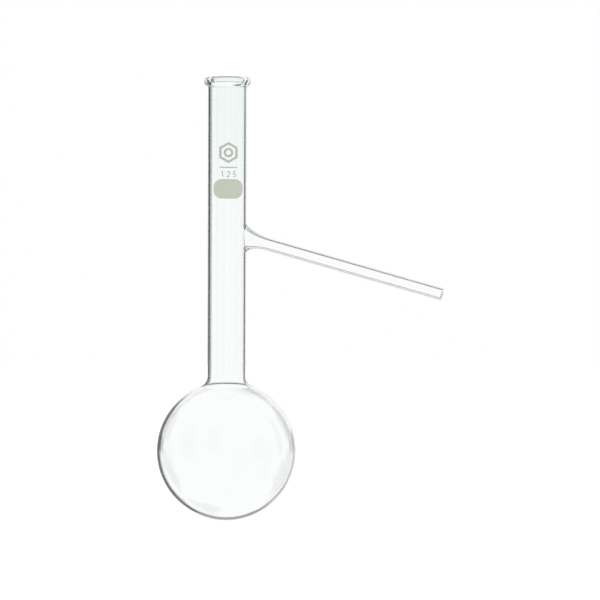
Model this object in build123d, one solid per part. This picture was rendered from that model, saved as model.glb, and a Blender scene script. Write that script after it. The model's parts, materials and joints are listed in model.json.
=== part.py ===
"""Side-arm distilling flask, 125 mL: a round bulb, a long beaded neck and a sloping side arm.

Millimetres, +Z up.  The origin is the lowest outside point of the bulb, on the neck's axis.
The side arm slopes down towards +X and the fired marks face -Y.
Each piece of glass meets its neighbours face to face, where a glassblower would fuse them.
"""
import os
from math import cos, radians, sin, sqrt

from build123d import *

# ---- driving dimensions ----
OVERALL_HEIGHT = 215.0
BULB_RADIUS = 33.9            # outside
BULB_WALL = 1.4
NECK_RADIUS = 9.4             # outside
NECK_WALL = 1.1
SHOULDER_RADIUS = 5.0         # outside curve between the neck and the bulb

RIM_RADIUS = 11.2             # outside of the beaded rim
BEAD_RADIUS = 2.4             # section of the bead
BEAD_HEEL_RADIUS = 0.8        # hollow curve under the bead

ARM_HEIGHT = 139.7            # where the arm's axis crosses the neck's axis
ARM_DROP = 15.85              # degrees below level
ARM_OUTER_RADIUS = 3.0
ARM_BORE_RADIUS = 2.1
ARM_REACH = 109.2             # from the neck's axis to the open tip, along the arm
TIP_LENGTH = 1.5              # fire-polished end of the arm
FLARE_LENGTH = 10.0           # trumpet that joins the arm to the neck
FLARE_OUTER_CURVE = 17.0
FLARE_INNER_CURVE = 19.0

ENAMEL = 0.1                  # thickness of the fired marks
PATCH_SIZE = (13.9, 9.4)      # label area for pencil notes, as seen from the front
PATCH_CORNER = 3.8
PATCH_HEIGHT = 160.9
NUMERAL_SIZE = (1.7, 3.0)     # one digit's width and height
NUMERAL_STROKE = 0.45
NUMERAL_PITCH = 2.95
NUMERAL_HEIGHT = 167.8
EMBLEM_HEIGHT = 178.3
EMBLEM_RADIUS = 5.1           # corner radius of the hexagon
EMBLEM_STROKE = 1.1
EMBLEM_RING_RADIUS = 2.3
RULE_SIZE = (8.6, 0.6)        # thin line under the emblem
RULE_HEIGHT = 171.2

# ---- derived dimensions ----
NECK_BORE_RADIUS = NECK_RADIUS - NECK_WALL
BULB_BORE_RADIUS = BULB_RADIUS - BULB_WALL
SHOULDER_OFFSET = NECK_RADIUS + SHOULDER_RADIUS
SHOULDER_RISE = sqrt((BULB_RADIUS + SHOULDER_RADIUS) ** 2 - SHOULDER_OFFSET ** 2)
NECK_BASE = BULB_RADIUS + SHOULDER_RISE
# The shoulder's inner curve touches both bores, so its radius follows from a right triangle.
INNER_SHOULDER_RADIUS = (
    (SHOULDER_RISE ** 2 - BULB_BORE_RADIUS ** 2 + NECK_BORE_RADIUS ** 2)
    / (2 * (BULB_BORE_RADIUS - NECK_BORE_RADIUS))
)

BEAD_CENTRE_RADIUS = RIM_RADIUS - BEAD_RADIUS
BEAD_CENTRE_HEIGHT = OVERALL_HEIGHT - BEAD_RADIUS
MOUTH_ROUNDING = BEAD_CENTRE_RADIUS - NECK_BORE_RADIUS
HEEL_OFFSET = NECK_RADIUS + BEAD_HEEL_RADIUS
HEEL_DROP = sqrt((BEAD_RADIUS + BEAD_HEEL_RADIUS) ** 2 - (HEEL_OFFSET - BEAD_CENTRE_RADIUS) ** 2)
NECK_TOP = BEAD_CENTRE_HEIGHT - HEEL_DROP

ARM_SLOPE = radians(ARM_DROP)
WALL_ALONG_ARM = NECK_RADIUS / cos(ARM_SLOPE)
FLARE_END = WALL_ALONG_ARM + FLARE_LENGTH
ARM_END = ARM_REACH - TIP_LENGTH
COLLAR_START = 3.0            # inside the neck's bore, trimmed off at the wall

# The arm's own frame: its Z runs from the neck's axis out along the arm.
ARM_PLANE = Plane(
    origin=(0, 0, ARM_HEIGHT),
    x_dir=(sin(ARM_SLOPE), 0, cos(ARM_SLOPE)),
    z_dir=(cos(ARM_SLOPE), 0, -sin(ARM_SLOPE)),
)


def turned(outline):
    """Solid turned about Z from a closed outline of (radius, height) edges."""
    return revolve(make_face(Plane.XZ * (Curve() + outline)), Axis.Z)


def toward(centre, target, distance):
    """Point at a distance from centre, in the direction of target."""
    step = (Vector(*target) - Vector(*centre)).normalized() * distance
    return Vector(*centre) + step


def shoulder_centres():
    """Centres of the shoulder's outer and inner curves, as (radius, height)."""
    return (SHOULDER_OFFSET, NECK_BASE), (NECK_BORE_RADIUS + INNER_SHOULDER_RADIUS, NECK_BASE)


def shoulder_points():
    """Where the shoulder's curves meet the bulb, outside and inside."""
    outer_centre, inner_centre = shoulder_centres()
    outside = toward((0, BULB_RADIUS), outer_centre, BULB_RADIUS)
    inside = toward((0, BULB_RADIUS), inner_centre, BULB_BORE_RADIUS)
    return outside, inside


def arc_middle(centre, radius, start, end):
    """The middle point of the short arc about centre between two points."""
    return toward(centre, (Vector(*start) + Vector(*end)) / 2, radius)


def make_bulb():
    """Hollow ball, open at the top where the shoulder begins."""
    outside, inside = shoulder_points()
    outline = [
        ThreePointArc((0, 0), (BULB_RADIUS, BULB_RADIUS), outside),
        Line(outside, inside),
        ThreePointArc(inside, (BULB_BORE_RADIUS, BULB_RADIUS), (0, BULB_WALL)),
        Line((0, BULB_WALL), (0, 0)),
    ]
    return turned(outline)


def make_neck_seal():
    """Curved shoulder ring that carries the bulb's wall up into the neck's."""
    outside, inside = shoulder_points()
    outer_centre, inner_centre = shoulder_centres()
    neck_outside = (NECK_RADIUS, NECK_BASE)
    neck_inside = (NECK_BORE_RADIUS, NECK_BASE)
    outer_middle = arc_middle(outer_centre, SHOULDER_RADIUS, outside, neck_outside)
    inner_middle = arc_middle(inner_centre, INNER_SHOULDER_RADIUS, neck_inside, inside)
    outline = [
        ThreePointArc(outside, outer_middle, neck_outside),
        Line(neck_outside, neck_inside),
        ThreePointArc(neck_inside, inner_middle, inside),
        Line(inside, outside),
    ]
    return turned(outline)


def make_neck_tube():
    """Straight neck, with a round hole through its wall for the side arm's collar."""
    length = NECK_TOP - NECK_BASE
    upright = (Align.CENTER, Align.CENTER, Align.MIN)
    wall = Cylinder(NECK_RADIUS, length, align=upright)
    wall -= Cylinder(NECK_BORE_RADIUS, length, align=upright)
    return Pos(0, 0, NECK_BASE) * wall - trumpet(ARM_OUTER_RADIUS, FLARE_OUTER_CURVE)


def trumpet(end_radius, curve):
    """Solid horn about the arm's axis: a straight collar, then a curve narrowing to end_radius."""
    wide = end_radius + curve - sqrt(curve ** 2 - FLARE_LENGTH ** 2)
    start = (wide, WALL_ALONG_ARM)
    end = (end_radius, FLARE_END)
    middle = arc_middle((end_radius + curve, FLARE_END), curve, start, end)
    outline = [
        Line((0, COLLAR_START), (wide, COLLAR_START)),
        Line((wide, COLLAR_START), start),
        ThreePointArc(start, middle, end),
        Line(end, (0, FLARE_END)),
        Line((0, FLARE_END), (0, COLLAR_START)),
    ]
    return ARM_PLANE * turned(outline)


def make_side_arm_seal():
    """Trumpet-shaped weld: flush with the neck's bore, and tapering to the arm."""
    outside = trumpet(ARM_OUTER_RADIUS, FLARE_OUTER_CURVE)
    cavity = trumpet(ARM_BORE_RADIUS, FLARE_INNER_CURVE)
    bore = Pos(0, 0, ARM_HEIGHT) * Cylinder(NECK_BORE_RADIUS, 4 * FLARE_LENGTH)
    return outside - cavity - bore


def make_side_arm():
    """Straight delivery tube."""
    length = ARM_END - FLARE_END
    upright = (Align.CENTER, Align.CENTER, Align.MIN)
    tube = Cylinder(ARM_OUTER_RADIUS, length, align=upright)
    tube -= Cylinder(ARM_BORE_RADIUS, length, align=upright)
    return ARM_PLANE * Pos(0, 0, FLARE_END) * tube


def make_side_arm_tip():
    """Fire-polished end of the arm, its edge rounded to half a circle."""
    edge = (ARM_OUTER_RADIUS - ARM_BORE_RADIUS) / 2
    middle = (ARM_OUTER_RADIUS + ARM_BORE_RADIUS) / 2
    shoulder = ARM_REACH - edge
    outline = [
        Line((ARM_BORE_RADIUS, ARM_END), (ARM_OUTER_RADIUS, ARM_END)),
        Line((ARM_OUTER_RADIUS, ARM_END), (ARM_OUTER_RADIUS, shoulder)),
        ThreePointArc((ARM_OUTER_RADIUS, shoulder), (middle, ARM_REACH), (ARM_BORE_RADIUS, shoulder)),
        Line((ARM_BORE_RADIUS, shoulder), (ARM_BORE_RADIUS, ARM_END)),
    ]
    return ARM_PLANE * turned(outline)


def make_rim_bead():
    """Rounded bead that strengthens the mouth."""
    bead_centre = (BEAD_CENTRE_RADIUS, BEAD_CENTRE_HEIGHT)
    heel_centre = (HEEL_OFFSET, NECK_TOP)
    heel = toward(bead_centre, heel_centre, BEAD_RADIUS)
    lip_centre = (NECK_BORE_RADIUS + MOUTH_ROUNDING, OVERALL_HEIGHT - MOUTH_ROUNDING)
    lip = (NECK_BORE_RADIUS, OVERALL_HEIGHT - MOUTH_ROUNDING)
    lip_top = (NECK_BORE_RADIUS + MOUTH_ROUNDING, OVERALL_HEIGHT)
    bead_side = (BEAD_CENTRE_RADIUS + BEAD_RADIUS, BEAD_CENTRE_HEIGHT)
    neck_outside = (NECK_RADIUS, NECK_TOP)
    neck_inside = (NECK_BORE_RADIUS, NECK_TOP)
    outline = [
        Line(neck_inside, lip),
        ThreePointArc(lip, arc_middle(lip_centre, MOUTH_ROUNDING, lip, lip_top), lip_top),
        ThreePointArc(lip_top, bead_side, heel),
        ThreePointArc(heel, arc_middle(heel_centre, BEAD_HEEL_RADIUS, heel, neck_outside), neck_outside),
        Line(neck_outside, neck_inside),
    ]
    return turned(outline)


def fired_on(mark, height):
    """A flat mark wrapped onto the front of the neck, as a thin skin of enamel."""
    skin = Cylinder(NECK_RADIUS + ENAMEL, 4 * EMBLEM_RADIUS) - Cylinder(NECK_RADIUS, 4 * EMBLEM_RADIUS)
    stamp = extrude(Plane.XZ * mark, amount=2 * NECK_RADIUS)
    return Pos(0, 0, height) * (skin & stamp)


def make_marking_patch():
    """Rounded label area for pencil notes."""
    return fired_on(RectangleRounded(*PATCH_SIZE, PATCH_CORNER), PATCH_HEIGHT)


def numeral_one():
    """Centre line of a 1: a short flag and an upright."""
    half_width, half_height = numeral_half_size()
    flag = (-half_width * 0.55, half_height * 0.55)
    return Polyline(flag, (half_width * 0.2, half_height), (half_width * 0.2, -half_height))


def numeral_two():
    """Centre line of a 2: a hooked curve, a slope and a foot."""
    half_width, half_height = numeral_half_size()
    crown = half_height - half_width
    slope_start = (half_width * cos(radians(-35)), crown + half_width * sin(radians(-35)))
    hook = CenterArc((0, crown), half_width, 170, -205)
    foot = Polyline(slope_start, (-half_width, -half_height), (half_width, -half_height))
    return Curve() + [hook, foot]


def numeral_five():
    """Centre line of a 5: a roof, a short upright and a belly."""
    half_width, half_height = numeral_half_size()
    belly = half_width * 1.05
    belly_centre = (-half_width * 0.1, -half_height + belly)
    start = (belly_centre[0] + belly * cos(radians(130)), belly_centre[1] + belly * sin(radians(130)))
    roof = Polyline((half_width * 0.9, half_height), (-half_width * 0.75, half_height), start)
    return Curve() + [roof, CenterArc(belly_centre, belly, 130, -275)]


def numeral_half_size():
    """Half the width and height of a digit's centre line."""
    return (NUMERAL_SIZE[0] - NUMERAL_STROKE) / 2, (NUMERAL_SIZE[1] - NUMERAL_STROKE) / 2


def make_capacity_numerals():
    """The capacity in millilitres, 125, in plain strokes."""
    digits = [numeral_one(), numeral_two(), numeral_five()]
    marks = Sketch()
    for place, digit in enumerate(digits):
        marks += Pos((place - 1) * NUMERAL_PITCH, 0) * trace(digit, NUMERAL_STROKE)
    return fired_on(marks, NUMERAL_HEIGHT)


def make_emblem():
    """Plain hexagon with a ring inside it."""
    hexagon = RegularPolygon(EMBLEM_RADIUS, 6, rotation=30)
    hexagon -= RegularPolygon(EMBLEM_RADIUS - EMBLEM_STROKE, 6, rotation=30)
    ring = Circle(EMBLEM_RING_RADIUS) - Circle(EMBLEM_RING_RADIUS - EMBLEM_STROKE)
    return fired_on(hexagon + ring, EMBLEM_HEIGHT)


def make_emblem_rule():
    """Thin line under the emblem."""
    return fired_on(Rectangle(*RULE_SIZE), RULE_HEIGHT)


NODES = {
    "bulb": make_bulb,
    "neck_seal": make_neck_seal,
    "neck_tube": make_neck_tube,
    "rim_bead": make_rim_bead,
    "side_arm_seal": make_side_arm_seal,
    "side_arm": make_side_arm,
    "side_arm_tip": make_side_arm_tip,
    "marking_patch": make_marking_patch,
    "capacity_numerals": make_capacity_numerals,
    "emblem": make_emblem,
    "emblem_rule": make_emblem_rule,
}

os.makedirs("parts", exist_ok=True)
for node, make in NODES.items():
    export_step(make(), f"parts/{node}.step")
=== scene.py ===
"""Looks of the side-arm distilling flask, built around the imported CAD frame.

Metres, in the CAD's own frame: +Z up the neck, the side arm slopes down to +X, the marks face -Y.
Each glass piece is a closed mesh with true normals.  Where two pieces are fused, their touching
faces carry a clear material, so light crosses the joint as it does in one piece of glass.
Each fired mark is a closed skin of enamel, wrapped onto the front of the neck.
"""
import json
from collections import namedtuple
from math import atan2, cos, pi, radians, sin, sqrt

import bpy
from mathutils import Matrix, Quaternion, Vector


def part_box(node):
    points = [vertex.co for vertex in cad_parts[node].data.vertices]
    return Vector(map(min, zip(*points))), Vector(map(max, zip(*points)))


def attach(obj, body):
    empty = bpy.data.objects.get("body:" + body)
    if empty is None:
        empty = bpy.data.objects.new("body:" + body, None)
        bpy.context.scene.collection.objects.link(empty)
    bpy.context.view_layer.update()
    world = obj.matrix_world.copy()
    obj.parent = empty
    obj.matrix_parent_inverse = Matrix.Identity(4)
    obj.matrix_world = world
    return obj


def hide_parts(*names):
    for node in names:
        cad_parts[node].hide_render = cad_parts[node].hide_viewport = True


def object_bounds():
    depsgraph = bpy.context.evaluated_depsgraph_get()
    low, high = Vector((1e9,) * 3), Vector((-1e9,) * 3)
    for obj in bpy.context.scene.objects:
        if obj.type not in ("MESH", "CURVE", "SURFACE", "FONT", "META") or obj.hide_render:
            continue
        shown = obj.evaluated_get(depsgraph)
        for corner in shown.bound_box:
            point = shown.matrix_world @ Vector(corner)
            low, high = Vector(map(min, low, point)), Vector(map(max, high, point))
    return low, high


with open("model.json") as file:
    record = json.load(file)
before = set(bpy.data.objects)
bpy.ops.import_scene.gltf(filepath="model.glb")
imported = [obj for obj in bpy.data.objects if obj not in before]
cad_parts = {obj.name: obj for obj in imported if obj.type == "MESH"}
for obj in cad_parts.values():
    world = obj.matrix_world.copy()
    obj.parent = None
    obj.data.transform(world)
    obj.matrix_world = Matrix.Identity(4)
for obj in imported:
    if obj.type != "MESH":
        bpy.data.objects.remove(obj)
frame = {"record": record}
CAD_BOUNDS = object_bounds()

# ---- sizes ----
MM = 0.001
MOUNTS = {mount["name"]: mount for mount in frame["record"]["mounts"]}
NECK_WALL = 1.1 * MM
BULB_WALL = 1.4 * MM
SHOULDER_RADIUS = 5.0 * MM
NECK_BORE = MOUNTS["neck_mouth"]["dims"]["r_mm"] * MM
NECK_RADIUS = NECK_BORE + NECK_WALL
NECK_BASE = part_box("neck_tube")[0].z
NECK_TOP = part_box("neck_tube")[1].z
SHOULDER_OFFSET = NECK_RADIUS + SHOULDER_RADIUS
# The shoulder's outer curve touches the bulb and its inner curve touches both bores,
# so each radius follows from a right triangle between the two centres.
BULB_RADIUS = (
    (NECK_BASE ** 2 + SHOULDER_OFFSET ** 2 - SHOULDER_RADIUS ** 2)
    / (2 * (NECK_BASE + SHOULDER_RADIUS))
)
BULB_BORE = BULB_RADIUS - BULB_WALL
SHOULDER_RISE = NECK_BASE - BULB_RADIUS
INNER_SHOULDER = (
    (SHOULDER_RISE ** 2 - BULB_BORE ** 2 + NECK_BORE ** 2)
    / (2 * (BULB_BORE - NECK_BORE))
)
INNER_OFFSET = NECK_BORE + INNER_SHOULDER

RIM_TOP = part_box("rim_bead")[1].z
BEAD_RADIUS = 2.4 * MM
BEAD_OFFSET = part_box("rim_bead")[1].x - BEAD_RADIUS
BEAD_HEIGHT = RIM_TOP - BEAD_RADIUS
HEEL_RADIUS = 0.8 * MM
HEEL_OFFSET = NECK_RADIUS + HEEL_RADIUS
LIP_RADIUS = BEAD_OFFSET - NECK_BORE

ARM_RADIUS = MOUNTS["side_arm_outlet"]["dims"]["r_mm"] * MM
ARM_BORE = MOUNTS["side_arm_bore"]["dims"]["r_mm"] * MM
ARM_EDGE = (ARM_RADIUS - ARM_BORE) / 2
ARM_MIDDLE = (ARM_RADIUS + ARM_BORE) / 2
ARM_AXIS = Vector(MOUNTS["side_arm_outlet"]["axis"]).normalized()
ARM_UP = Vector((-ARM_AXIS.z, 0, ARM_AXIS.x))
ARM_POINT = Vector(MOUNTS["side_arm_outlet"]["pos_m"])
ARM_ROOT = ARM_POINT - ARM_AXIS * (ARM_POINT.x / ARM_AXIS.x)
ARM_TURN = Matrix((ARM_UP, (0, -1, 0), ARM_AXIS)).transposed().to_4x4()
ARM_SPACE = Matrix.Translation(ARM_ROOT) @ ARM_TURN     # its Z runs out along the arm
FLARE_LENGTH = 10.0 * MM
FLARE_END = NECK_RADIUS / ARM_AXIS.x + FLARE_LENGTH
FLARE_SPRING = 6.0 * MM          # how strongly the weld leaves along the neck's wall
FLARE_RUN = 10.0 * MM            # and how strongly it arrives along the arm
TIP_LENGTH = 1.5 * MM
# The tip's rounded end reaches furthest along +X at the top of the ring that its edge runs on.
TIP_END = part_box("side_arm_tip")[1].x
ARM_REACH = ARM_EDGE + (TIP_END - ARM_MIDDLE * ARM_UP.x - ARM_EDGE) / ARM_AXIS.x
ARM_END = ARM_REACH - TIP_LENGTH

ENAMEL = 0.1 * MM                # how far the fired marks stand proud
ENAMEL_EDGE = 0.4 * ENAMEL       # the same at their thin edge
ENAMEL_ROOT = -0.02 * MM         # and how deep they are fused in

TURN = 180                       # facets around a turned piece
GLASS_SLOT, JOINT_SLOT = 0, 1    # a glass piece's two materials
GLASS = "borosilicate_glass"     # the record's slots
LABEL_ENAMEL = "label_enamel"
MARK_ENAMEL = "mark_enamel"


# ---- closed meshes with true normals ----
class Shell:
    """One closed mesh, gathered sheet by sheet; points that coincide are one vertex."""

    def __init__(self):
        self.points = []
        self.index = {}
        self.faces = []
        self.normals = []
        self.slots = []

    def vertex(self, point):
        """Number of the vertex at a point, new or shared."""
        key = tuple(round(value, 8) for value in point)
        if key not in self.index:
            self.index[key] = len(self.points)
            self.points.append(tuple(point))
        return self.index[key]

    def face(self, corners, slot):
        """Adds one face from (vertex, normal) corners, wound so that it faces along its normals."""
        kept = []
        for number, normal in corners:
            if number not in [old for old, _ in kept]:
                kept.append((number, normal))
        if len(kept) < 3:
            return
        wound = flat_normal([self.points[number] for number, _ in kept])
        if wound.dot(total(normal for _, normal in kept)) < 0:
            kept.reverse()
        self.faces.append([number for number, _ in kept])
        self.normals += [normal for _, normal in kept]
        self.slots.append(slot)

    def flat_face(self, points):
        """Adds one flat face, which looks at whoever sees its points run anticlockwise."""
        self.faces.append([self.vertex(point) for point in points])
        self.normals += [flat_normal(points)] * len(points)
        self.slots.append(GLASS_SLOT)

    def sheet(self, surface, rows, columns, facing, slot=GLASS_SLOT, closed=True, edge=None):
        """Skins surface(u, v) over lists of u (rows) and v (columns); facing is +1 or -1.

        It starts on the vertices of edge, the last row of another sheet, and returns its own last row.
        """
        grid = []
        for u in rows:
            numbers = [self.vertex(surface(u, v)) for v in columns] if grid or not edge else edge
            normals = [surface_normal(surface, u, v) * facing for v in columns]
            grid.append(list(zip(numbers, normals)))
        for low, high in zip(grid, grid[1:]):
            for start in range(len(columns) - (0 if closed else 1)):
                end = (start + 1) % len(columns)
                self.face([low[start], low[end], high[end], high[start]], slot)
        return [number for number, _ in grid[-1]]

    def band(self, first, second, facing):
        """Closes the gap between two rings of points with flat joint faces."""
        for start in range(len(first)):
            end = (start + 1) % len(first)
            corners = [first[start], first[end], second[end], second[start]]
            flat = flat_normal(corners) * facing
            self.face([(self.vertex(corner), flat) for corner in corners], JOINT_SLOT)

    def finish(self, name, materials, node, slot):
        """Glass casts no shadow: light traced through its walls would leave the enamel and the
        floor behind it far darker than real glass does.
        """
        mesh = bpy.data.meshes.new(name)
        mesh.from_pydata(self.points, [], self.faces)
        for material in materials:
            mesh.materials.append(material)
        mesh.polygons.foreach_set("material_index", self.slots)
        mesh.polygons.foreach_set("use_smooth", [True] * len(self.faces))
        mesh.normals_split_custom_set([tuple(normal) for normal in self.normals])
        piece = bpy.data.objects.new(name, mesh)
        piece.visible_shadow = slot != GLASS
        bpy.context.scene.collection.objects.link(piece)
        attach(piece, "root")
        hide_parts(node)
        return piece


def total(vectors):
    """Sum of vectors."""
    return sum(vectors, Vector((0, 0, 0)))


def flat_normal(points):
    """Unit normal of a flat outline."""
    places = [Vector(point) for point in points]
    return total(here.cross(after) for here, after in zip(places, places[1:] + places[:1])).normalized()


def surface_normal(surface, u, v, step=4e-3):
    """Unit normal of surface(u, v), from steps to both sides; at a pole it leans a little inward."""
    along = surface(u + step, v) - surface(u - step, v)
    across = surface(u, v + step) - surface(u, v - step)
    if across.length < 1e-8:
        inward = min(max(u, step), 1 - step)
        across = surface(inward, v + step) - surface(inward, v - step)
    return along.cross(across).normalized()


def spread(count):
    """Evenly spaced values from 0 to 1."""
    return [step / count for step in range(count + 1)]


def around(count):
    """Evenly spaced values around a ring, from 0 to just under 1."""
    return [step / count for step in range(count)]


def smooth(low, high, value):
    """0 below low, 1 above high, and an easy curve between."""
    place = min(max((value - low) / (high - low), 0), 1)
    return place * place * (3 - 2 * place)


def arc(centre, radius, start, end):
    """Profile along an arc, its angles in radians."""
    def profile(u):
        angle = start + (end - start) * u
        return centre[0] + radius * cos(angle), centre[1] + radius * sin(angle)
    return profile


def line(start, end):
    """Profile along a straight line."""
    def profile(u):
        return start[0] + (end[0] - start[0]) * u, start[1] + (end[1] - start[1]) * u
    return profile


def turned(profile, space):
    """Surface of (u, v) from profile(u) = (radius, height), turned about the Z of a space."""
    def surface(u, v):
        radius, height = profile(u)
        angle = 2 * pi * v
        return space @ Vector((radius * cos(angle), radius * sin(angle), height))
    return surface


def turned_shell(outline, space=Matrix.Identity(4)):
    """Shell of an outline of (profile, rows, slot), which runs up the outside and down the inside."""
    shell = Shell()
    edge = None
    for profile, rows, slot in outline:
        edge = shell.sheet(turned(profile, space), spread(rows), around(TURN), -1, slot, edge=edge)
    return shell


# ---- glass pieces ----
def shoulder_angles():
    """Angles above level, seen from the bulb's centre, where the shoulder's curves touch the bulb."""
    return atan2(SHOULDER_RISE, SHOULDER_OFFSET), atan2(SHOULDER_RISE, INNER_OFFSET)


def on_ball(radius, angle):
    """Profile point on a ball about the bulb's centre."""
    return radius * cos(angle), BULB_RADIUS + radius * sin(angle)


def make_bulb(materials):
    """Blown ball, open at the shoulder."""
    outer, inner = shoulder_angles()
    centre = (0, BULB_RADIUS)
    outline = [
        (arc(centre, BULB_RADIUS, -pi / 2, outer), 100, GLASS_SLOT),
        (line(on_ball(BULB_RADIUS, outer), on_ball(BULB_BORE, inner)), 1, JOINT_SLOT),
        (arc(centre, BULB_BORE, inner, -pi / 2), 100, GLASS_SLOT),
    ]
    return turned_shell(outline).finish("flask_bulb", materials, "bulb", GLASS)


def make_neck_seal(materials):
    """Shoulder ring where the neck is fused to the bulb."""
    outer, inner = shoulder_angles()
    outline = [
        (arc((SHOULDER_OFFSET, NECK_BASE), SHOULDER_RADIUS, outer + pi, pi), 20, GLASS_SLOT),
        (line((NECK_RADIUS, NECK_BASE), (NECK_BORE, NECK_BASE)), 1, JOINT_SLOT),
        (arc((INNER_OFFSET, NECK_BASE), INNER_SHOULDER, pi, inner + pi), 20, GLASS_SLOT),
        (line(on_ball(BULB_BORE, inner), on_ball(BULB_RADIUS, outer)), 1, JOINT_SLOT),
    ]
    return turned_shell(outline).finish("flask_neck_seal", materials, "neck_seal", GLASS)


def make_rim_bead(materials):
    """Beaded mouth: a hollow heel, a round bead and a fire-polished lip."""
    bead_centre = (BEAD_OFFSET, BEAD_HEIGHT)
    heel_turn = atan2(BEAD_HEIGHT - NECK_TOP, BEAD_OFFSET - HEEL_OFFSET)
    lip_centre = (BEAD_OFFSET, RIM_TOP - LIP_RADIUS)
    outline = [
        (arc((HEEL_OFFSET, NECK_TOP), HEEL_RADIUS, pi, heel_turn), 8, GLASS_SLOT),
        (arc(bead_centre, BEAD_RADIUS, heel_turn - pi, pi / 2), 28, GLASS_SLOT),
        (arc(lip_centre, LIP_RADIUS, pi / 2, pi), 8, GLASS_SLOT),
        (line((NECK_BORE, RIM_TOP - LIP_RADIUS), (NECK_BORE, NECK_TOP)), 6, GLASS_SLOT),
        (line((NECK_BORE, NECK_TOP), (NECK_RADIUS, NECK_TOP)), 1, JOINT_SLOT),
    ]
    return turned_shell(outline).finish("flask_rim_bead", materials, "rim_bead", GLASS)


# The side arm's weld fills an oval port in the neck's wall.  A patch of the wall around the
# port, this many facets wide and rows high, is skinned with rays from the oval to its border.
PORT_FACETS = 60
PORT_ROWS = 28
PORT_HEIGHT = ARM_ROOT.z - NECK_RADIUS * ARM_UP.x / ARM_AXIS.x
PATCH_HALF_HEIGHT = 14 * MM
PATCH_LOW = PORT_HEIGHT - PATCH_HALF_HEIGHT
PATCH_HIGH = PORT_HEIGHT + PATCH_HALF_HEIGHT
PORT_COLUMNS = 2 * (PORT_FACETS + PORT_ROWS)
OUTER_PORT = {"radius": NECK_RADIUS, "half_width": 6.0 * MM, "half_height": 6.9 * MM}
INNER_PORT = {"radius": NECK_BORE, "half_width": 5.0 * MM, "half_height": 5.8 * MM}


def on_wall(radius, angle, height):
    """Point of the neck's wall; the angle is 0 towards the side arm."""
    return Vector((radius * cos(angle), radius * sin(angle), height))


def patch_border(v):
    """(angle, height) around the patch: along the bottom, up, back along the top, and down."""
    place = (v * PORT_COLUMNS) % PORT_COLUMNS
    half_turn = PORT_FACETS / 2
    if place < PORT_FACETS:
        across, up = place - half_turn, 0
    elif place < PORT_FACETS + PORT_ROWS:
        across, up = half_turn, place - PORT_FACETS
    elif place < 2 * PORT_FACETS + PORT_ROWS:
        across, up = half_turn - (place - PORT_FACETS - PORT_ROWS), PORT_ROWS
    else:
        across, up = -half_turn, PORT_COLUMNS - place
    return 2 * pi * across / TURN, PATCH_LOW + (PATCH_HIGH - PATCH_LOW) * up / PORT_ROWS


def port_turn(v):
    """Angle about the arm's axis of ray v, from the top towards +Y."""
    angle, height = patch_border(v)
    half_width = pi * PORT_FACETS / TURN
    half_height = (PATCH_HIGH - PATCH_LOW) / 2
    return atan2(angle / half_width, (height - PORT_HEIGHT) / half_height)


def port_edge(port, v):
    """(angle, height) on the oval edge of the port."""
    turn = port_turn(v)
    return (port["half_width"] / port["radius"] * sin(turn),
            PORT_HEIGHT + port["half_height"] * cos(turn))


def port_ring(port):
    """The points of the port's edge."""
    return [on_wall(port["radius"], *port_edge(port, v)) for v in around(PORT_COLUMNS)]


def skin_neck_wall(shell, port, facing):
    """Skins the neck's outside or inside, leaving the oval port open."""
    radius = port["radius"]

    def stretch(low, high):
        return turned(line((radius, low), (radius, high)), Matrix.Identity(4))

    def patch(u, v):
        start_angle, start_height = port_edge(port, v)
        end_angle, end_height = patch_border(v)
        angle = start_angle + (end_angle - start_angle) * u
        height = start_height + (end_height - start_height) * u
        return on_wall(radius, angle, height)

    beside = [step / TURN for step in range(PORT_FACETS // 2, TURN - PORT_FACETS // 2 + 1)]
    shell.sheet(stretch(NECK_BASE, PATCH_LOW), spread(24), around(TURN), facing)
    shell.sheet(stretch(PATCH_HIGH, NECK_TOP), spread(24), around(TURN), facing)
    shell.sheet(stretch(PATCH_LOW, PATCH_HIGH), spread(PORT_ROWS), beside, facing, closed=False)
    shell.sheet(patch, spread(14), around(PORT_COLUMNS), -facing)


def make_neck_tube(materials):
    """Straight neck with the port for the side arm."""
    shell = Shell()
    skin_neck_wall(shell, OUTER_PORT, -1)
    skin_neck_wall(shell, INNER_PORT, 1)
    shell.band(port_ring(INNER_PORT), port_ring(OUTER_PORT), -1)
    for height, facing in ((NECK_BASE, 1), (NECK_TOP, -1)):
        inside = [on_wall(NECK_BORE, 2 * pi * v, height) for v in around(TURN)]
        outside = [on_wall(NECK_RADIUS, 2 * pi * v, height) for v in around(TURN)]
        shell.band(inside, outside, facing)
    return shell.finish("flask_neck_tube", materials, "neck_tube", GLASS)


def flare(port, end_radius):
    """Surface from the port's edge, flush with the neck's wall, to the arm's tube, flush with it."""
    def surface(u, v):
        turn = port_turn(v)
        angle, height = port_edge(port, v)
        start = on_wall(port["radius"], angle, height)
        inward = Vector((-port["half_width"] * sin(turn), -port["half_height"] * cos(turn)))
        inward.normalize()
        leave = Vector((-sin(angle) * inward.x, cos(angle) * inward.x, inward.y)) * FLARE_SPRING
        ring = ARM_UP * cos(turn) + Vector((0, 1, 0)) * sin(turn)
        end = ARM_ROOT + ARM_AXIS * FLARE_END + ring * end_radius
        arrive = ARM_AXIS * FLARE_RUN
        start_share = 2 * u ** 3 - 3 * u ** 2 + 1
        leave_share = u ** 3 - 2 * u ** 2 + u
        arrive_share = u ** 3 - u ** 2
        from_port = start * start_share + leave * leave_share
        return from_port + end * (1 - start_share) + arrive * arrive_share
    return surface


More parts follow.
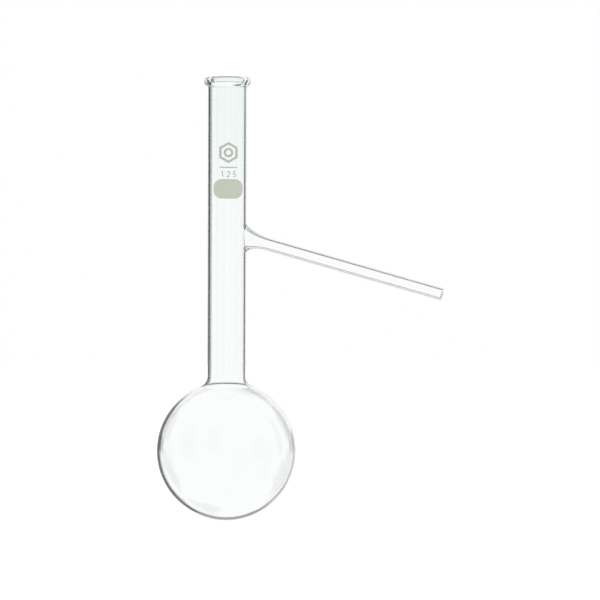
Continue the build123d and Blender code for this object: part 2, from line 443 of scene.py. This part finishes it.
def make_side_arm_seal(materials):
    """Trumpet-shaped weld between the neck and the arm."""
    outer = flare(OUTER_PORT, ARM_RADIUS)
    inner = flare(INNER_PORT, ARM_BORE)
    columns = around(PORT_COLUMNS)
    shell = Shell()
    shell.sheet(outer, spread(30), columns, -1)
    shell.sheet(inner, spread(30), columns, 1)
    shell.band(port_ring(INNER_PORT), port_ring(OUTER_PORT), 1)
    shell.band([inner(1, v) for v in columns], [outer(1, v) for v in columns], -1)
    return shell.finish("flask_side_arm_seal", materials, "side_arm_seal", GLASS)


def make_side_arm(materials):
    """Straight delivery tube."""
    outline = [
        (line((ARM_RADIUS, FLARE_END), (ARM_RADIUS, ARM_END)), 30, GLASS_SLOT),
        (line((ARM_RADIUS, ARM_END), (ARM_BORE, ARM_END)), 1, JOINT_SLOT),
        (line((ARM_BORE, ARM_END), (ARM_BORE, FLARE_END)), 30, GLASS_SLOT),
        (line((ARM_BORE, FLARE_END), (ARM_RADIUS, FLARE_END)), 1, JOINT_SLOT),
    ]
    shell = turned_shell(outline, ARM_SPACE)
    return shell.finish("flask_side_arm", materials, "side_arm", GLASS)


def make_side_arm_tip(materials):
    """Fire-polished open end of the arm."""
    shoulder = ARM_REACH - ARM_EDGE
    outline = [
        (line((ARM_RADIUS, ARM_END), (ARM_RADIUS, shoulder)), 3, GLASS_SLOT),
        (arc((ARM_MIDDLE, shoulder), ARM_EDGE, 0, pi), 14, GLASS_SLOT),
        (line((ARM_BORE, shoulder), (ARM_BORE, ARM_END)), 3, GLASS_SLOT),
        (line((ARM_BORE, ARM_END), (ARM_RADIUS, ARM_END)), 1, JOINT_SLOT),
    ]
    shell = turned_shell(outline, ARM_SPACE)
    return shell.finish("flask_side_arm_tip", materials, "side_arm_tip", GLASS)


# ---- fired marks ----
PATCH_SIZE = (13.9 * MM, 9.4 * MM)
PATCH_CORNER = 3.8 * MM
NUMERAL_SIZE = (1.7 * MM, 3.0 * MM)
NUMERAL_STROKE = 0.45 * MM
NUMERAL_PITCH = 2.95 * MM
EMBLEM_STROKE = 1.1 * MM
EMBLEM_RING = 2.3 * MM
RULE_STROKE = 0.6 * MM
STROKE_GAP = 0.25 * MM           # about how far apart the sections of a stroke are
# Section of a stroke: shares of half its width, from side to side, and heights above the glass.
STROKE_SECTION = [
    (-1, ENAMEL_ROOT), (-1, ENAMEL_EDGE), (-0.75, 0.9 * ENAMEL), (0, ENAMEL),
    (0.75, 0.9 * ENAMEL), (1, ENAMEL_EDGE), (1, ENAMEL_ROOT),
]
# Rows of the label area's face, as shares of the way from its middle to its border.
FACE_SHARES = [0, 0.1, 0.3, 0.5, 0.7, 0.85, 0.92, 0.94, 0.955, 0.97, 0.985, 1]
FACE_THINS_FROM = 0.94           # the share past which it thins
UNDERSIDE_SHARES = [0, 0.3, 0.6, 1]


def middle_of(node):
    """Height of a CAD node's middle."""
    low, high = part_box(node)
    return (low.z + high.z) / 2


def on_front(x, z, lift):
    """Point on the front of the neck, straight behind (x, z) as seen from -Y."""
    radius = NECK_RADIUS + lift
    return Vector((x, -sqrt(radius * radius - x * x), z))


def make_marking_patch(material):
    """Rounded label area, a little thinner towards its edge."""
    half_width, half_height = PATCH_SIZE[0] / 2, PATCH_SIZE[1] / 2
    level = middle_of("marking_patch")

    def border(v):
        """Point of the rounded rectangle in direction v."""
        angle = 2 * pi * v
        x, z = cos(angle), sin(angle)
        reach = min(half_width / max(abs(x), 1e-9), half_height / max(abs(z), 1e-9))
        corner = Vector((half_width - PATCH_CORNER, half_height - PATCH_CORNER))
        if abs(x) * reach > corner.x and abs(z) * reach > corner.y:
            along = abs(x) * corner.x + abs(z) * corner.y
            reach = along + sqrt(along * along - corner.length_squared + PATCH_CORNER ** 2)
        return x * reach, z * reach

    def place(share, v, lift):
        x, z = border(v)
        return on_front(x * share, level + z * share, lift)

    def top(u, v):
        thinning = smooth(FACE_THINS_FROM, 1, u) ** 2
        return place(u, v, ENAMEL + (ENAMEL_EDGE - ENAMEL) * thinning)

    def side(u, v):
        return place(1, v, ENAMEL_EDGE + (ENAMEL_ROOT - ENAMEL_EDGE) * u)

    def underside(u, v):
        return place(1 - u, v, ENAMEL_ROOT)

    shell = Shell()
    columns = around(160)
    edge = shell.sheet(top, FACE_SHARES, columns, 1)
    edge = shell.sheet(side, [0, 1], columns, 1, edge=edge)
    shell.sheet(underside, UNDERSIDE_SHARES, columns, 1, edge=edge)
    return shell.finish("flask_marking_patch", [material], "marking_patch", LABEL_ENAMEL)


def resampled(points, gap):
    """The same path with points about a gap apart."""
    path = [Vector(points[0])]
    for start, end in zip(points, points[1:]):
        steps = max(1, round((Vector(end) - Vector(start)).length / gap))
        path += [Vector(start).lerp(Vector(end), step / steps) for step in range(1, steps + 1)]
    return path


def stroke(shell, points, width, level, closed=False):
    """Adds a painted stroke along a flat path, with softly rounded sides."""
    path = resampled(points + points[:1] if closed else points, STROKE_GAP)
    if closed:
        path.pop()
    sections = []
    for number, point in enumerate(path):
        before = path[number - 1] if number or closed else point
        after = path[(number + 1) % len(path)] if number + 1 < len(path) or closed else point
        arriving = (point - before).normalized()
        leaving = (after - point).normalized()
        along = (arriving + leaving).normalized()
        side = Vector((-along.y, along.x))
        widen = 1 / max(0.5, along.dot(leaving if leaving.length else arriving))
        section = []
        for share, lift in STROKE_SECTION:
            place = point + side * share * width / 2 * widen
            section.append(on_front(place.x, level + place.y, lift))
        sections.append(section)
    for near, far in zip(sections, sections[1:] + sections[:1] if closed else sections[1:]):
        for start in range(len(STROKE_SECTION)):
            end = (start + 1) % len(STROKE_SECTION)
            shell.flat_face([near[start], far[start], far[end], near[end]])
    if not closed:
        shell.flat_face(sections[0])
        shell.flat_face(sections[-1][::-1])


def bend(centre, radius, start, end, steps=14):
    """Points along an arc of a stroke, its angles in degrees."""
    angles = [radians(start + (end - start) * step / steps) for step in range(steps + 1)]
    return [(centre[0] + radius * cos(angle), centre[1] + radius * sin(angle)) for angle in angles]


def numeral_paths():
    """Centre lines of the digits 1, 2 and 5."""
    half_width = (NUMERAL_SIZE[0] - NUMERAL_STROKE) / 2
    half_height = (NUMERAL_SIZE[1] - NUMERAL_STROKE) / 2
    stem = half_width * 0.2
    one = [(-half_width * 0.55, half_height * 0.55), (stem, half_height), (stem, -half_height)]
    two = bend((0, half_height - half_width), half_width, 170, -35)
    two += [(-half_width, -half_height), (half_width, -half_height)]
    belly = half_width * 1.05
    five = [(half_width * 0.9, half_height), (-half_width * 0.75, half_height)]
    five += bend((-half_width * 0.1, belly - half_height), belly, 130, -145)
    return one, two, five


def make_capacity_numerals(material):
    """The capacity, 125."""
    shell = Shell()
    level = middle_of("capacity_numerals")
    for place, path in enumerate(numeral_paths()):
        shift = (place - 1) * NUMERAL_PITCH
        stroke(shell, [(x + shift, z) for x, z in path], NUMERAL_STROKE, level)
    return shell.finish("flask_capacity_numerals", [material], "capacity_numerals", MARK_ENAMEL)


def make_emblem(material):
    """Plain hexagon with a ring inside it."""
    low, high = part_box("emblem")
    corner = (high.z - low.z) / 2 - EMBLEM_STROKE / (2 * cos(radians(30)))
    ring = EMBLEM_RING - EMBLEM_STROKE / 2
    shell = Shell()
    level = middle_of("emblem")
    stroke(shell, bend((0, 0), corner, 90, 450, 6)[:-1], EMBLEM_STROKE, level, closed=True)
    stroke(shell, bend((0, 0), ring, 0, 360, 48)[:-1], EMBLEM_STROKE, level, closed=True)
    return shell.finish("flask_emblem", [material], "emblem", MARK_ENAMEL)


def make_emblem_rule(material):
    """Thin line under the emblem."""
    low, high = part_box("emblem_rule")
    shell = Shell()
    stroke(shell, [(low.x, 0), (high.x, 0)], RULE_STROKE, middle_of("emblem_rule"))
    return shell.finish("flask_emblem_rule", [material], "emblem_rule", MARK_ENAMEL)


# ---- materials ----
GLASS_IOR = 1.473
BODY_TINT = (0.984, 0.992, 0.991)
MOUTH_TINT = (0.937, 0.974, 0.962)
TINT_START = 0.55 * NECK_TOP     # the green grows from this height to the neck's top
WAVE_SCALE = 60.0                # waves per metre in the drawn glass,
WAVE_STRETCH = (1, 1, 0.15)      # drawn out along the neck
WAVE_DEPTH = 0.3 * MM
ENAMEL_IOR = 1.5
PIGMENT_SCALE = 900.0            # patches per metre
ORANGE_PEEL_SCALE = 4000.0
ORANGE_PEEL_DEPTH = 0.03 * MM
WHITE = (1.0, 1.0, 1.0)


def new_material(name):
    """Material with a bare Principled surface, its nodes and its links."""
    material = bpy.data.materials.new(name)
    material.use_nodes = True
    tree = material.node_tree
    return material, tree.nodes, tree.links, tree.nodes["Principled BSDF"]


def noise(nodes, links, scale, stretch=(1, 1, 1), detail=2.0):
    """Noise over the object's own metres, stretched along its axes."""
    place = nodes.new("ShaderNodeTexCoord")
    mapping = nodes.new("ShaderNodeMapping")
    mapping.inputs["Scale"].default_value = stretch
    texture = nodes.new("ShaderNodeTexNoise")
    texture.inputs["Scale"].default_value = scale
    texture.inputs["Detail"].default_value = detail
    links.new(place.outputs["Object"], mapping.inputs["Vector"])
    links.new(mapping.outputs["Vector"], texture.inputs["Vector"])
    return texture.outputs["Fac"]


def blend_colours(nodes, links, share, low, high, start=0.0, end=1.0):
    """Ramp between two colours, from a start to an end."""
    ramp = nodes.new("ShaderNodeValToRGB")
    ramp.color_ramp.elements[0].position = start
    ramp.color_ramp.elements[1].position = end
    ramp.color_ramp.elements[0].color = (*low, 1)
    ramp.color_ramp.elements[1].color = (*high, 1)
    links.new(share, ramp.inputs["Fac"])
    return ramp.outputs["Color"]


def soft_step(nodes, links, value, start, end):
    """0 at start, 1 at end, smooth between; start may be the larger."""
    node = nodes.new("ShaderNodeMapRange")
    node.interpolation_type = "SMOOTHSTEP"
    low, high = min(start, end), max(start, end)
    node.inputs["From Min"].default_value = low
    node.inputs["From Max"].default_value = high
    node.inputs["To Min"].default_value = 0 if start < end else 1
    node.inputs["To Max"].default_value = 1 if start < end else 0
    links.new(value, node.inputs["Value"])
    return node.outputs["Result"]


def add_bump(nodes, links, surface, texture, strength, depth):
    """Raises a surface's shading by a texture."""
    bump = nodes.new("ShaderNodeBump")
    bump.inputs["Strength"].default_value = strength
    bump.inputs["Distance"].default_value = depth
    links.new(texture, bump.inputs["Height"])
    links.new(bump.outputs["Normal"], surface.inputs["Normal"])


def glass_material(name, edge_green_and_painted_shade, edge_start):
    """Fire-polished borosilicate: clear, greener towards the mouth, faintly wavy.

    Seen edge on it darkens towards the given edge colour, partly the deeper green of glass seen edge on
    and partly painted shade that draws its dark outlines; edge_start is how far a face must turn away
    for that to begin.
    """
    material, nodes, links, surface = new_material(name)
    surface.inputs["Transmission Weight"].default_value = 1.0
    surface.inputs["IOR"].default_value = GLASS_IOR
    surface.inputs["Roughness"].default_value = 0.0
    place = nodes.new("ShaderNodeTexCoord")
    parts = nodes.new("ShaderNodeSeparateXYZ")
    links.new(place.outputs["Object"], parts.inputs["Vector"])
    height = soft_step(nodes, links, parts.outputs["Z"], TINT_START, NECK_TOP)
    body = blend_colours(nodes, links, height, BODY_TINT, MOUTH_TINT)
    # Painted shade: the colour darkens as a face turns away from the view, drawing the glass's dark
    # outlines; a little of it is the deeper green of glass seen edge on.
    turned_away = nodes.new("ShaderNodeLayerWeight")
    turned_away.inputs["Blend"].default_value = 0.5
    edge = blend_colours(
        nodes, links, turned_away.outputs["Facing"], WHITE, edge_green_and_painted_shade, edge_start, 1.0)
    tint_and_painted_shade = nodes.new("ShaderNodeMix")
    tint_and_painted_shade.data_type = "RGBA"
    tint_and_painted_shade.blend_type = "MULTIPLY"
    tint_and_painted_shade.inputs["Factor"].default_value = 1.0
    links.new(body, tint_and_painted_shade.inputs["A"])
    links.new(edge, tint_and_painted_shade.inputs["B"])
    links.new(tint_and_painted_shade.outputs["Result"], surface.inputs["Base Color"])
    waves = noise(nodes, links, WAVE_SCALE, WAVE_STRETCH)
    add_bump(nodes, links, surface, waves, 0.01, WAVE_DEPTH)
    return material


def joint_material():
    """Clear material of the touching faces inside the glass: light passes them unbent."""
    material, nodes, links, surface = new_material("fused_joint")
    clear = nodes.new("ShaderNodeBsdfTransparent")
    links.new(clear.outputs["BSDF"], nodes["Material Output"].inputs["Surface"])
    nodes.remove(surface)
    return material


def enamel_material(name, thin, thick, roughness):
    """Fired enamel: grains of pigment, slightly uneven in tone, with a fine orange-peel surface."""
    material, nodes, links, surface = new_material(name)
    tone = noise(nodes, links, PIGMENT_SCALE, detail=4.0)
    links.new(blend_colours(nodes, links, tone, thin, thick), surface.inputs["Base Color"])
    surface.inputs["Roughness"].default_value = roughness
    surface.inputs["IOR"].default_value = ENAMEL_IOR
    add_bump(nodes, links, surface, noise(nodes, links, ORANGE_PEEL_SCALE), 0.15, ORANGE_PEEL_DEPTH)
    return material


# ---- studio ----
def compute(nodes, links, operation, *values):
    """One Math node; each value is a number or another node's output."""
    node = nodes.new("ShaderNodeMath")
    node.operation = operation
    for place, value in enumerate(values):
        if isinstance(value, (int, float)):
            node.inputs[place].default_value = value
        else:
            links.new(value, node.inputs[place])
    return node.outputs[0]


# Dark cards stand around the white tent and draw the glass's edges.  Each has its limits in
# headings, from +Y towards +X, and in heights above level; its shade, from 0 for white to 1 for
# the full dark; and the blur of its border.  The limits and the blur are in degrees.  Light that
# has come through the glass shows every card, and light mirrored in it only the mirrored ones.
Card = namedtuple("Card", "headings heights shade blur mirrored")
CARDS = {
    "bulb_left": Card((-31, -11), (-17, 17), 0.85, 6, True),
    "foot_left": Card((-30, -10), (-36, -14), 0.87, 3, True),
    "neck_left": Card((-46, -26), (-5, 4), 1.0, 3, True),
    "rim_left": Card((-60, -28), (4, 26), 1.0, 3, False),
    "bulb_right": Card((25, 33), (-17, 2), 0.8, 3, False),
    "foot_right": Card((19, 31), (-34, -14), 0.7, 3, False),
    "neck_right": Card((34, 52), (-5, 4), 1.0, 3, False),
    "rim_right": Card((36, 60), (4, 26), 1.0, 3, False),
    "foot_middle": Card((-12, 22), (-38, -21), 0.9, 3, False),
    "ceiling": Card((10, 34), (24, 54), 0.9, 6, False),
    "side_left": Card((-130, -104), (-17, 15), 0.4, 12, False),
    "side_right": Card((-76, -60), (-34, 2), 0.7, 6, False),
    "back_left": Card((98, 120), (-36, 8), 0.5, 22, False),
    "back_right": Card((150, 172), (-36, 8), 0.5, 22, False),
}
DARK_CARD = (0.03, 0.036, 0.034)
SOFTBOX_PLACE = Vector((0.1, -0.1, 1.4))
SOFTBOX_AIM = Vector((0.03, 0, 0.1))
SOFTBOX_SIZE = 1.2
SOFTBOX_WATTS = 8
FLOOR_REACH = 1.1
FLOOR_DROP = 0.02 * MM           # keeps the floor off the bulb's lowest point
FLOOR_GLOW = 0.5

CAMERA_DISTANCE = 1.3
CAMERA_ELEVATION = radians(2.5)
CAMERA_TURN = radians(-5)
CAMERA_ROLL = radians(0.25)
CAMERA_AIM = Vector((-0.4 * MM, 0, -0.36 * MM))     # from the middle of the flask's box
SENSOR_WIDTH = 36                # millimetres, as a camera has it
FLASK_SHARE = 0.7383             # share of the picture's height that the flask fills


def light_the_studio():
    """A white tent.  Its dark cards are seen only in the glass, and darken nothing else."""
    world = bpy.data.worlds.new("studio")
    bpy.context.scene.world = world
    world.use_nodes = True
    nodes, links = world.node_tree.nodes, world.node_tree.links
    place = nodes.new("ShaderNodeTexCoord")
    parts = nodes.new("ShaderNodeSeparateXYZ")
    links.new(place.outputs["Generated"], parts.inputs["Vector"])
    heading = compute(nodes, links, "ARCTAN2", parts.outputs["X"], parts.outputs["Y"])
    height = compute(nodes, links, "ARCSINE", parts.outputs["Z"])
    rays = nodes.new("ShaderNodeLightPath")
    dark = 0
    for card in CARDS.values():
        shade = card.shade
        soft = radians(card.blur) / 2
        for angle, limits in ((heading, card.headings), (height, card.heights)):
            low, high = (radians(limit) for limit in limits)
            past_low = soft_step(nodes, links, angle, low - soft, low + soft)
            before_high = soft_step(nodes, links, angle, high + soft, high - soft)
            shade = compute(nodes, links, "MULTIPLY", shade, past_low)
            shade = compute(nodes, links, "MULTIPLY", shade, before_high)
        # A ray that has passed through glass counts as glossy too.
        seen = rays.outputs["Is Glossy Ray" if card.mirrored else "Is Transmission Ray"]
        dark = compute(nodes, links, "MAXIMUM", dark, compute(nodes, links, "MULTIPLY", shade, seen))
    ramp = blend_colours(nodes, links, dark, WHITE, DARK_CARD)
    links.new(ramp, nodes["Background"].inputs["Color"])


def add_softbox():
    """Square area light overhead, unseen in the glass."""
    lamp = bpy.data.lights.new("top_softbox", "AREA")
    lamp.size = SOFTBOX_SIZE
    lamp.energy = SOFTBOX_WATTS
    box = bpy.data.objects.new("top_softbox", lamp)
    box.visible_glossy = False
    box.visible_transmission = False
    box.location = SOFTBOX_PLACE
    box.rotation_euler = (SOFTBOX_AIM - SOFTBOX_PLACE).to_track_quat("-Z", "Y").to_euler()
    bpy.context.scene.collection.objects.link(box)


def add_floor():
    """Plain white light table, just under the bulb and unseen in the glass."""
    mesh = bpy.data.meshes.new("floor")
    corners = [(FLOOR_REACH * cos(2 * pi * v), FLOOR_REACH * sin(2 * pi * v), 0) for v in around(96)]
    mesh.from_pydata(corners, [], [list(range(len(corners)))])
    floor = bpy.data.objects.new("floor", mesh)
    floor.location.z = -FLOOR_DROP
    floor.visible_transmission = False
    floor.visible_glossy = False
    material, _, _, surface = new_material("white_floor")
    surface.inputs["Base Color"].default_value = (0.9, 0.9, 0.9, 1)
    surface.inputs["Roughness"].default_value = 0.9
    surface.inputs["Emission Color"].default_value = (1, 1, 1, 1)
    surface.inputs["Emission Strength"].default_value = FLOOR_GLOW
    mesh.materials.append(material)
    bpy.context.scene.collection.objects.link(floor)


def add_camera():
    """Long lens, a little above level and rolled by a hair, with the whole flask in its square frame."""
    low, high = Vector(CAD_BOUNDS[0]), Vector(CAD_BOUNDS[1])
    middle = (low + high) / 2 + CAMERA_AIM
    view_height = (high.z - low.z) / FLASK_SHARE
    level = cos(CAMERA_ELEVATION)
    back = Vector((sin(CAMERA_TURN) * level, -cos(CAMERA_TURN) * level, sin(CAMERA_ELEVATION)))
    lens = bpy.data.cameras.new("camera")
    lens.sensor_width = SENSOR_WIDTH
    lens.lens = SENSOR_WIDTH * CAMERA_DISTANCE / view_height
    camera = bpy.data.objects.new("camera", lens)
    camera.location = middle + back * CAMERA_DISTANCE
    roll = Quaternion((0, 0, 1), CAMERA_ROLL)
    camera.rotation_euler = ((-back).to_track_quat("-Z", "Y") @ roll).to_euler()
    bpy.context.scene.collection.objects.link(camera)
    bpy.context.scene.camera = camera


# ---- assembly ----
light_the_studio()
add_softbox()
add_floor()
add_camera()
bpy.context.scene.view_settings.view_transform = "Standard"

# Both glass materials darken at the edge as painted shade for the outlines; the side arm's small tube
# darkens far more at the edge than the wide pieces do, to draw its thin dark outlines.
fused_joint = joint_material()
glass = [glass_material("borosilicate_glass", (0.75, 0.8, 0.78), 0.75), fused_joint]
thin_glass = [glass_material("borosilicate_thin_tube", (0.2, 0.25, 0.235), 0.5), fused_joint]
label_enamel = enamel_material("label_enamel", (0.38, 0.40, 0.33), (0.44, 0.46, 0.39), 0.55)
mark_enamel = enamel_material("mark_enamel", (0.32, 0.34, 0.295), (0.38, 0.4, 0.35), 0.4)
make_bulb(glass)
make_neck_seal(glass)
make_neck_tube(glass)
make_rim_bead(glass)
make_side_arm_seal(thin_glass)
make_side_arm(thin_glass)
make_side_arm_tip(thin_glass)
make_marking_patch(label_enamel)
make_capacity_numerals(mark_enamel)
make_emblem(mark_enamel)
make_emblem_rule(mark_enamel)
